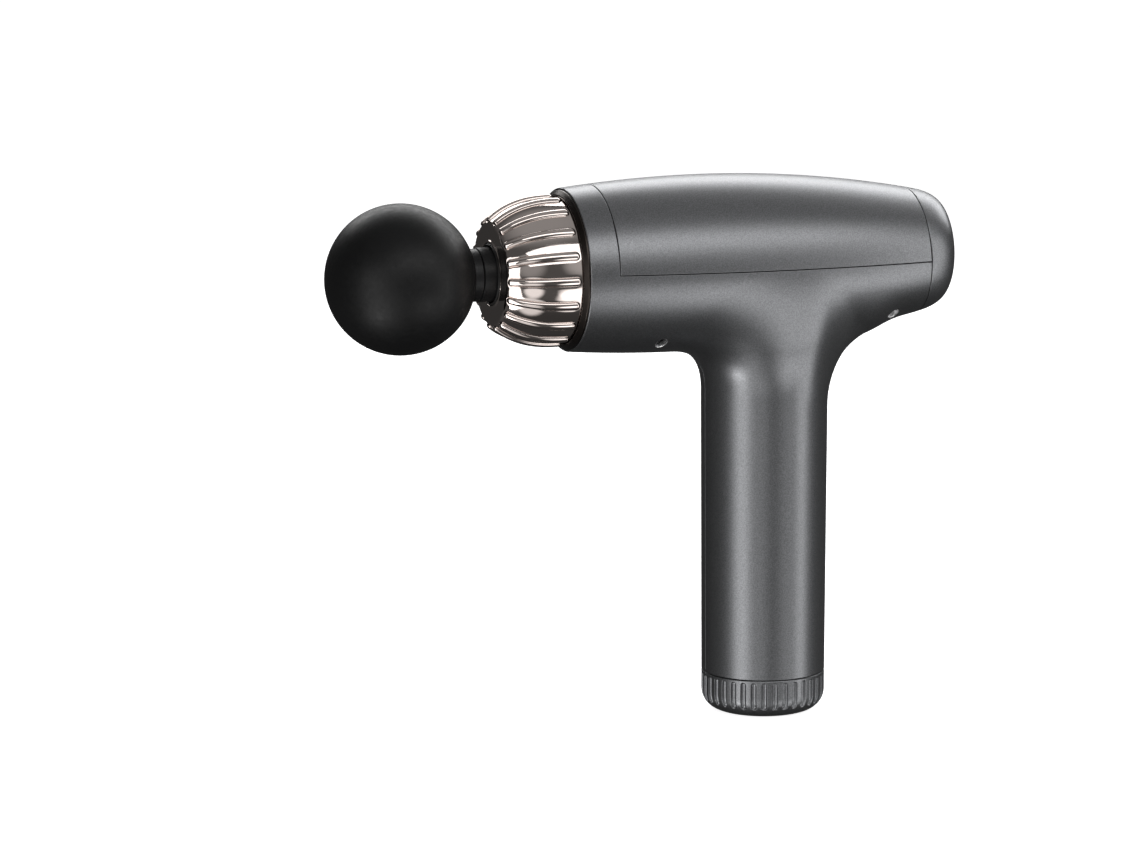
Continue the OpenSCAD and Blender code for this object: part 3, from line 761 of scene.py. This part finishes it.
def shell_from(points, faces, normals, walls, edges, bores=()):
    """A closed shell: the outside, a rounded edge, the cut face and the inside.

    walls is each point's wall thickness and edges the rounding at each point. A bore's points are
    carried straight along Y through the wall. Returns the shell, its normals and the faces in the bores.
    """
    points, normals = np.array(points, float), np.array(normals, float)
    count = len(points)
    inner = points - normals * walls[:, None]
    bore = np.array(sorted(set(bores)), int)
    if len(bore):
        inner[bore] = through_wall(points[bore])
    directed = {(int(f[k]), int(f[(k + 1) % 4])) for f in faces for k in range(4)}
    rim = [(a, b) for a, b in directed if (b, a) not in directed]
    following = dict(rim)
    preceding = {b: a for a, b in rim}
    border = sorted(following)
    number = {v: k for k, v in enumerate(border)}
    here = points[border]
    out = normals[border]
    ahead = points[[following[v] for v in border]] - here
    behind = here - points[[preceding[v] for v in border]]
    first, second = unit(np.cross(behind, out)), unit(np.cross(ahead, out))
    side = (first + second) / (1 + np.sum(first * second, axis=1))[:, None]
    flat_side = unit(side)
    radius = edges[border][:, None]
    rings, ring_normals = [], []
    for angle in np.radians([30, 60, 90]):
        rings.append(here + radius * (math.sin(angle) * side - (1 - math.cos(angle)) * out))
        ring_normals.append(math.cos(angle) * out + math.sin(angle) * flat_side)
    last = rings[-1] - out * (walls[border][:, None] - radius)
    is_bore = np.isin(border, bore)
    if is_bore.any():
        last[is_bore] = through_wall(rings[-1][is_bore])
    rings.append(last)
    ring_normals.append(flat_side)
    all_points = np.vstack([points, inner, *rings])
    all_normals = np.vstack([normals, -normals, *ring_normals])
    all_faces = [list(f) for f in faces] + [[count + v for v in f[::-1]] for f in faces]
    size = len(border)

    def at(level, v):
        if level == 0:
            return v
        if level > len(rings):
            return count + v
        return 2 * count + (level - 1) * size + number[v]

    cut = set(bore.tolist())
    bright = []
    for a, b in rim:
        for level in range(len(rings) + 1):
            if a in cut:
                bright.append(len(all_faces))
            all_faces.append([at(level, b), at(level, a), at(level + 1, a), at(level + 1, b)])
    return Build().add(all_points, all_faces), all_normals, bright


def on_left_flank(x, z, depth=0):
    """Places at x and z on the barrel's left side, at a depth below its surface."""
    return np.stack([x, -np.sqrt((barrel_radius(x) - depth) ** 2 - (z - AXIS_Z) ** 2), z], -1)


def through_wall(points):
    """The same places, moved along Y onto the left shell's inner face."""
    return on_left_flank(points[:, 0], points[:, 2], WALL)


def screw_boss(x, drop):
    """A blind tube behind a screw recess, from inside the wall to the middle of the body."""
    angles = np.arange(BOSS_SIDES) * 2 * math.pi / BOSS_SIDES

    def ring(radius, y=None):
        places = on_left_flank(x + radius * np.cos(angles), AXIS_Z - drop + radius * np.sin(angles), WALL / 2)
        if y is not None:
            places[:, 1] = y
        return places

    bore_r = RECESS_R + 0.04
    pin_r = 0.01
    rows = [ring(bore_r), ring(bore_r, RECESS_FLOOR_Y), ring(pin_r, RECESS_FLOOR_Y)]
    rows += [ring(pin_r, BOSS_END_Y), ring(BOSS_R, BOSS_END_Y), ring(BOSS_R)]
    return Build().grid(rows, loop=True)


def make_body():
    """Both halves of the body, parted along y = 0."""
    grid = BodyGrid()
    points = grid.points
    rim_wall = 0.62
    behind_bezel = np.clip((points[:, 0] - (RIM_X + 3.4)) / 0.8, 0, 1)
    walls = rim_wall + (WALL - rim_wall) * behind_bezel
    split = np.abs(points[:, 1]) < 1e-6
    for side, name in ((-1, "body_shell_left"), (1, "body_shell_right")):
        middle = points[grid.faces].mean(axis=1)[:, 1]
        faces = grid.faces[middle * side > 0]
        used = np.unique(faces)
        number = np.full(len(points), -1)
        number[used] = np.arange(len(used))
        mine = points[used].copy()
        on_split = split[used]
        mine[on_split, 1] = side * (SPLIT_GAP / 2 + SPLIT_EDGE)
        edges = np.where(mine[:, 0] < RIM_X + 1, RIM_EDGE, EDGE)
        edges = np.where(on_split, SPLIT_EDGE, edges)
        bores = [number[v] for ring in grid.bores for v in ring] if side < 0 else []
        edges[bores] = BORE_EDGE
        normals = grid.normals[used]
        build, normals, bright = shell_from(mine, number[faces], normals, walls[used], edges, bores)
        for x, drop in SCREWS if side < 0 else ():
            boss = screw_boss(x, drop)
            build.add(boss.verts, boss.faces)
            radial = unit((boss.verts - [x, 0, AXIS_Z - drop]) * [1, 0, 1])
            radial[:2 * BOSS_SIDES] *= -1
            normals = np.vstack([normals, radial])
        make_piece(name, build, GUNMETAL, "housing", normals=normals, trim=(BARE, bright))


def make_top_cover():
    """The cover over the barrel."""
    inset = GAP / 2 + EDGE
    front = COVER_X + inset
    columns, rows = 60, 56
    grid = np.zeros((columns + 1, rows + 1, 3))
    for i in range(columns + 1):
        for j in range(rows + 1):
            x = front
            for _ in range(4):
                rise = (cover_seam_z(x) + inset - AXIS_Z) / float(barrel_radius(x))
                edge = math.pi / 2 + math.asin(rise)
                angle = edge + (2 * math.pi - 2 * edge) * j / rows
                end = cap_seam_x(AXIS_Z - float(barrel_radius(x)) * math.cos(angle)) - inset
                x = front + (end - front) * i / columns
            grid[i, j] = on_barrel(x, barrel_radius(x), angle)
    points = grid.reshape(-1, 3)
    faces = np.array(Build().grid(grid, closed=False).faces)
    step = 0.01
    fall = (barrel_radius(points[:, 0] + step) - barrel_radius(points[:, 0] - step)) / (2 * step)
    around = unit((points - [0, 0, AXIS_Z]) * [0, 1, 1])
    normals = unit(around - np.outer(fall, [1, 0, 0]))
    walls = np.full(len(points), WALL)
    build, normals, _ = shell_from(points, faces, normals, walls, np.full(len(points), EDGE))
    make_piece("top_cover", build, GUNMETAL, "housing", normals=normals)


def make_rear_cap():
    """The cap behind the leaning seam, with a seat for the lens and a spigot that enters the shells."""
    steps = 144
    angles = np.arange(steps) * 2 * math.pi / steps
    seam_r = float(barrel_radius(SEAM_X))
    lead = (float(barrel_radius(SEAM_X + 0.01)) - seam_r) / 0.01
    start, end = np.array([SEAM_X, seam_r]), np.array([REAR_X, 14.9])
    pull = np.array([start, start + 5.6 * np.array([1, lead]), [REAR_X, 20.1], end])
    t = np.linspace(0, 1, 41)[:, None]
    early = (1 - t) ** 3 * pull[0] + 3 * t * (1 - t) ** 2 * pull[1]
    late = 3 * t * t * (1 - t) * pull[2] + t ** 3 * pull[3]
    curve = early + late
    before = SEAM_X - 2
    xs = np.concatenate([[before], curve[:, 0]])
    rs = np.concatenate([[barrel_radius(before)], curve[:, 1]])

    def outer_radius(x):
        return np.interp(x, xs, rs)

    seam = np.full(steps, SEAM_X)
    for _ in range(4):
        seam = cap_seam_x(AXIS_Z - outer_radius(seam) * np.cos(angles))
    edge_x = seam + GAP / 2
    rows = []
    for angle in np.radians([90, 60, 30, 0]):
        back = EDGE * (1 - math.sin(angle))
        sink = EDGE * (1 - math.cos(angle))
        x = edge_x + back
        rows.append(on_barrel(x, outer_radius(x) - sink, angles))
    bend = 18
    for share in np.linspace(0, 1, 14)[1:]:
        x = edge_x + EDGE + (curve[bend, 0] - edge_x - EDGE) * share
        rows.append(on_barrel(x, outer_radius(x), angles))
    for x, radius in curve[bend + 1:]:
        rows.append(on_barrel(x, radius, angles))
    seat_r, seat_x, opening_r = LENS_R + 0.12, LENS_FRONT - 0.05, LENS_R - 1
    seat = rounded([
        (14.9, REAR_X), (seat_r, REAR_X, 0.2), (seat_r, seat_x), (opening_r, seat_x),
        (opening_r, REAR_X - 2.8), (LENS_R + 0.6, REAR_X - 2.8), (18.4, REAR_X - 6), (19.6, SEAM_X + 1),
        (19.2, SEAM_X - 4, 0.3), (20.4, SEAM_X - 4, 0.3),
    ], closed=False)
    for radius, x in seat[1:]:
        rows.append(on_barrel(x, radius, angles))
    rows.append(on_barrel(edge_x + 0.3, 20.4, angles))
    rows.append(on_barrel(edge_x, outer_radius(edge_x) - 1.0, angles))
    build = Build().grid(rows, loop=True)
    make_piece("rear_cap", build, GUNMETAL, "housing")


# ---- front end ----


def make_bezel():
    """The ring that lines the barrel's front rim."""
    outline = rounded([
        (28.68, RIM_X + 3.2, 0.1), (28.68, RIM_X - 0.5, 0.35), (27.0, RIM_X - 1.95, 0.5),
        (26.35, RIM_X - 1.75, 0.25), (26.5, RIM_X + 1.35, 0.1), (27.5, RIM_X + 1.35), (27.5, RIM_X + 3.2),
    ])
    build = turned(outline, 160)
    make_piece("front_bezel", build, BEZEL, "housing")


def dome_radius(x):
    """Radius of the dome between its ribs at x."""
    share = np.abs(np.asarray(x, float) + 82) / 31.2
    return 26.2 * np.sqrt(1 - share ** 2.3)


def make_dome():
    """The plated dome with its raised ribs, which have round ends."""
    side_x = np.linspace(-104.8, -76.4, 64)
    front = [(17.4, DOME_FRONT), (18.3, DOME_FRONT + 0.12)]
    path = Path(front + [(float(dome_radius(x)), x) for x in side_x])
    relief = [(1.16, 0.0), (1.07, -0.13), (1.0, -0.05)]
    for angle in np.radians(np.linspace(6, 90, 10)):
        relief.append((math.cos(angle), RIB_HEIGHT * math.sin(angle)))
    segment = (path.nearest(-103.9), path.nearest(-81.7))

    def half_width(s):
        share = (s - segment[0]) / (segment[1] - segment[0])
        return 1.36 + 0.3 * share

    across = 4
    rows = relief_band(path, RIBS, segment, half_width, relief, 34, 3, across)
    build = Build()
    wrap_band(build, path, rows, RIBS, "x")
    base_x = -75.8
    rest = [tuple(path.points[-1]), (27.2, -76.0), (27.2, DOME_BACK)]
    rest += [(float(dome_radius(base_x)) - DOME_WALL, DOME_BACK)]
    rest += [(float(dome_radius(x)) - DOME_WALL, x) for x in np.linspace(base_x, -102, 12)]
    inner_face = DOME_FRONT + 1.5
    lip_x = DOME_FRONT - 0.35
    rest += [(17.0, inner_face), (12.0, inner_face)]
    lip = rounded([
        (12.0, inner_face), (11.2, inner_face), (11.2, lip_x, 0.34), (12.0, lip_x, 0.34),
        (12.3, DOME_FRONT, 0.2), (17.0, DOME_FRONT), tuple(path.points[0]),
    ], closed=False)
    rest += [tuple(p) for p in lip[1:]]
    part = turned(rest, RIBS * 2 * across, loop=False)
    build.add(part.verts, part.faces)
    make_piece("vent_dome", build, CHROME, "housing", sharp=80)


def make_seal():
    """The wiper round the plunger, in the hole of the dome."""
    flange_front, flange_back = DOME_FRONT + 1.65, DOME_FRONT + 3.5
    outline = rounded([
        (10.15, DOME_FRONT - 0.2, 0.1), (10.55, DOME_FRONT - 0.6, 0.1), (11.1, DOME_FRONT - 0.1, 0.1),
        (11.1, flange_front), (13, flange_front, 0.2), (13, flange_back, 0.2), (10.15, flange_back, 0.2),
    ])
    build = turned(outline, 96)
    make_piece("collar_seal", build, SEAL, "housing")


# ---- head and plunger ----


def make_ball():
    """The soft ball: a hollow skin round the stem's core, open at the collar."""
    centre = BALL_FRONT + BALL_R
    collar_r = 9.6
    core_r = 8.05
    mouth = math.degrees(math.asin((collar_r + 0.7) / BALL_R))
    outer = arc((0, centre), BALL_R, -90, 90 - mouth, 90)
    mouth_x = centre + BALL_R * math.cos(math.radians(mouth))
    lip = [(collar_r + 0.28, mouth_x + 0.02), (collar_r + 0.04, mouth_x - 0.4), (core_r + 0.1, mouth_x - 0.5)]
    inner = [(core_r, mouth_x - 2.6), (core_r, centre - 12.3), (0, centre - 12.3)]
    build = turned(outer + lip + inner, 144, loop=False)
    ball = make_piece("ball_head", build, BALL, "head")


def make_stem():
    """The head's stem, from the ball's core to its tip, and the ring in its groove."""
    centre = BALL_FRONT + BALL_R
    collar_x = STEM_TIP - 24.5
    outline = rounded([
        (0, centre - 12), (8, centre - 12, 0.5), (8, centre + 23.6), (9.5, centre + 24.2, 0.1),
        (9.5, collar_x, 0.35), (6.4, collar_x, 0.1), (5.65, collar_x + 0.6, 0.4),
        (5.65, -94.25, 0.1), (4.6, -94.25), (4.6, -91.95), (5.65, -91.95, 0.1),
        (5.65, STEM_TIP, 0.9), (0, STEM_TIP),
    ], closed=False)
    build = turned(outline, 96, loop=False)
    make_piece("head_stem", build, BLACK, "head")
    ring = turned(arc((5.15, -93.1), 0.55, 0, 345, 23), 96)
    make_piece("stem_ring", ring, RUBBER, "head")


def make_plunger():
    """The plunger, with the head's socket in front and a bore for the drive behind."""
    socket_r, socket_x = 5.75, PLUNGER_FRONT + 27
    bore_r, bore_x = 5.02, PLUNGER_REAR - 24.2
    outline = rounded([
        (0, socket_x), (socket_r, socket_x), (socket_r, PLUNGER_FRONT), (PLUNGER_R, PLUNGER_FRONT, 0.5),
        (PLUNGER_R, PLUNGER_REAR, 0.4), (bore_r, PLUNGER_REAR, 0.3), (bore_r, bore_x), (0, bore_x),
    ], closed=False)
    build = turned(outline, 96, loop=False)
    make_piece("plunger", build, BLACK, "plunger")


# ---- rear panel ----


def make_rear_panel():
    """The lens in the rear cap and the button in its middle."""
    lens = rounded([
        (5.62, LENS_FRONT), (5.62, REAR_X, 0.15), (LENS_R, REAR_X, 0.2), (LENS_R, LENS_FRONT),
    ])
    build = turned(lens, 128)
    make_piece("display_lens", build, GLOSS, "housing")
    button = rounded([
        (0, BUTTON_REAR - 0.35), (3.4, BUTTON_REAR - 0.12, 1.5), (4.7, BUTTON_REAR, 0.3),
        (BUTTON_R, BUTTON_REAR - 0.1, 0.35), (BUTTON_R, LENS_FRONT - 0.1),
        (BUTTON_R + 1.3, LENS_FRONT - 0.1, 0.1), (BUTTON_R + 1.3, LENS_FRONT - 1.1, 0.1),
        (0, LENS_FRONT - 1.1),
    ], closed=False)
    build = turned(button, 96, loop=False)
    make_piece("speed_button", build, BUTTON, "button")


# ---- base ----


def make_base_ring():
    """The ring under the handle, with sunk flutes round it."""
    rounding = 7.5
    lower = arc((LOW_R - rounding, rounding), rounding, -62, 0, 24)
    top = BASE_H - GAP / 2
    path = Path(lower + [(LOW_R, z) for z in np.linspace(rounding, top - 0.45, 12)[1:]])
    relief = [(1.12, 0.0), (1.02, -0.01), (0.97, -0.08), (0.93, -0.3)]
    for share in (0.82, 0.6, 0.33, 0.0):
        relief.append((share, -0.3 - (FLUTE_DEPTH - 0.3) * math.sqrt(1 - (share / 0.93) ** 2)))
    segment = (path.nearest(3.3 + FLUTE_HALF_WIDTH), path.nearest(BASE_H - 0.9 - FLUTE_HALF_WIDTH))
    across = 3
    rows = relief_band(path, FLUTES, segment, lambda s: FLUTE_HALF_WIDTH, relief, 14, 2, across)
    build = Build()
    wrap_band(build, path, rows, FLUTES, "z", phase=-math.pi / FLUTES)
    under = arc((LOW_R - rounding, rounding), rounding, -90, -62, 10)
    spigot_r, spigot_inner_r, spigot_top = LOW_R - WALL - 0.15, LOW_R - 4, BASE_H + 3
    rest = [tuple(path.points[-1]), (LOW_R - 0.07, top - 0.15), (LOW_R - 0.3, top)]
    rest += [(spigot_r, top), (spigot_r, spigot_top), (spigot_inner_r, spigot_top), (spigot_inner_r, BASE_H)]
    rest += [(16.4, rounding - 1), (13.5, 3), (13.5, 0.15), (13.65, 0.0)]
    rest += under[:-1] + [tuple(path.points[0])]
    part = turned(rest, FLUTES * 2 * across, "z", loop=False)
    build.add(part.verts, part.faces)
    make_piece("base_ring", build, GUNMETAL, "housing", sharp=50)


# ---- CAD nodes that keep their shape ----

CAD_FINISH = {
    "shell_screws display_screws base_screws motor_screws": SCREW,
    "yoke_pin motor_bearings motor_shaft rotor_magnets crank_pin crank_bearing bearing_clip": STEEL,
    "jack_pin cell_links": STEEL,
    "base_plate charge_jack drive_frame cell_tray_low cell_tray_top": BLACK,
    "display_board battery_board control_board": BOARD,
    "tact_switch board_parts": PARTS,
    "yoke crank_disc": ALUMINIUM,
    "motor_base rotor_bell": MOTOR,
    "frame_damper frame_pads": RUBBER,
    "level_leds": LED,
    "switch_frame": GLOSS,
    "rocker_switch": ROCKER,
    "guide_sleeve": BEARING,
    "stator_core": LAMINATIONS,
    "stator_windings": COPPER,
    "battery_cells": CELL,
}


def finish_cad_nodes():
    """Gives each CAD node that is shown as it is its material."""
    for names, material in CAD_FINISH.items():
        for name in names.split():
            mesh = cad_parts[name].data
            mesh.materials.clear()
            mesh.materials.append(material)


# ---- studio ----

SOFTBOX_DISTANCE = 1.0
ROOM_LEVEL = 0.1
# Soft patches of the room as (azimuth, elevation, inner angle, outer angle, radiance)
PATCHES = [
    (0, 90, 10, 50, 0.24),
    (-26, -22, 8, 16, 1.1),
    (17, -24, 5, 12, 0.8),
    (26, -33, 7, 19, 1.9),
    (-36, -50, 10, 19, 0.9),
    (30, 14, 4, 22, 0.4),
    (-30, 16, 5, 25, 0.25),
    (0, -90, 20, 60, -0.05),
    (170, -5, 20, 70, -0.06),
]


def aim(name, data, location, look):
    """Puts a camera or a light in the scene, looking along a direction."""
    made = bpy.data.objects.new(name, data)
    made.location = location
    made.rotation_mode = "QUATERNION"
    made.rotation_quaternion = look.to_track_quat("-Z", "Y")
    bpy.context.scene.collection.objects.link(made)
    return made


def make_camera():
    """A long lens, 20 degrees towards the ball from square on and a little above."""
    target = Vector((-74.86, 0, 108.6)) * MM
    look = Vector((0.33634, 0.92337, -0.18510)).normalized()
    lens = bpy.data.cameras.new("camera")
    lens.sensor_width = 36
    lens.lens = 211.3
    lens.clip_start, lens.clip_end = 0.05, 50
    bpy.context.scene.camera = aim("camera", lens, target - look * 2.4, look)


def softbox(name, azimuth, elevation, width, height, radiance):
    """A rectangular light that faces the object. Azimuth 0 is on the -Y side and 90 on the +X side."""
    light = bpy.data.lights.new(name, "AREA")
    light.shape = "RECTANGLE"
    light.size, light.size_y = width, height
    light.energy = radiance * math.pi * width * height
    back = Vector(compass(azimuth, elevation))
    lamp = aim(name, light, Vector((-0.03, 0, 0.11)) + back * SOFTBOX_DISTANCE, -back)
    lamp.visible_camera = False


def compass(azimuth, elevation):
    """Unit vector to a place in the studio. Azimuth 0 is on the -Y side and 90 on the +X side."""
    a, e = math.radians(azimuth), math.radians(elevation)
    return (math.sin(a) * math.cos(e), -math.cos(a) * math.cos(e), math.sin(e))


def make_room():
    """A dark room with soft pale patches on its walls. The camera sees plain white instead."""
    world = bpy.data.worlds.new("studio")
    world.use_nodes = True
    tree = world.node_tree
    place = shader_node(tree, "TexCoord", {}).outputs["Generated"]
    room = tree.nodes["Background"]
    room.inputs["Color"].default_value = (1, 1, 1, 1)
    total = ROOM_LEVEL
    for azimuth, elevation, inner, outer, strength in PATCHES:
        towards = {0: place, 1: compass(azimuth, elevation)}
        near = shader_node(tree, "VectorMath", towards, operation="DOT_PRODUCT")
        patch = shader_node(tree, "MapRange", {
            "From Min": math.cos(math.radians(outer)), "From Max": math.cos(math.radians(inner)),
            "To Min": 0, "To Max": strength, "Value": near.outputs["Value"],
        }, interpolation_type="SMOOTHSTEP")
        level = shader_node(tree, "Math", {0: patch.outputs["Result"], 1: total}, operation="ADD")
        total = level.outputs["Value"]
    level = shader_node(tree, "Math", {0: total, 1: 0.01}, operation="MAXIMUM")
    tree.links.new(level.outputs["Value"], room.inputs["Strength"])
    backdrop = shader_node(tree, "Background", {"Color": (1, 1, 1, 1)})
    rays = shader_node(tree, "LightPath", {})
    mix = shader_node(tree, "MixShader", {
        "Fac": rays.outputs["Is Camera Ray"],
        1: room.outputs["Background"],
        2: backdrop.outputs["Background"],
    })
    tree.links.new(mix.outputs["Shader"], tree.nodes["World Output"].inputs["Surface"])
    bpy.context.scene.world = world
    bpy.context.scene.view_settings.view_transform = "Standard"


def make_studio():
    make_room()
    softbox("left", -61, -9, 0.48, 1.2, 2.15)
    softbox("right", 53, -8, 0.3, 1.2, 2.3)
    softbox("front_high", 6, 39, 1.5, 0.4, 2.2)
    softbox("back_top", 147, 37, 2.0, 0.42, 4.2)
    softbox("kicker", -68, -42, 0.26, 0.16, 9.0)

    floor_mesh = bpy.data.meshes.new("floor")
    reach, level = 8.0, -0.0003
    corners = [(-reach, -reach, level), (reach, -reach, level), (reach, reach, level), (-reach, reach, level)]
    floor_mesh.from_pydata(corners, [], [(0, 1, 2, 3)])
    floor = bpy.data.objects.new("floor", floor_mesh)
    bpy.context.scene.collection.objects.link(floor)
    paper = Finish("paper", (0.9, 0.9, 0.9), 0.0, 0.9)
    paper.spread(paper.noise(900, 3.0), "Roughness", 0.85, 0.95)
    paper.set("Emission Color", (1, 1, 1, 1))
    paper.set("Emission Strength", 0.86)
    floor_mesh.materials.append(paper.material)
    floor.visible_glossy = False
    floor.visible_diffuse = False
    floor.visible_shadow = False


make_body()
make_top_cover()
make_rear_cap()
make_bezel()
make_dome()
make_seal()
make_ball()
make_stem()
make_plunger()
make_rear_panel()
make_base_ring()
finish_cad_nodes()
make_camera()
make_studio()
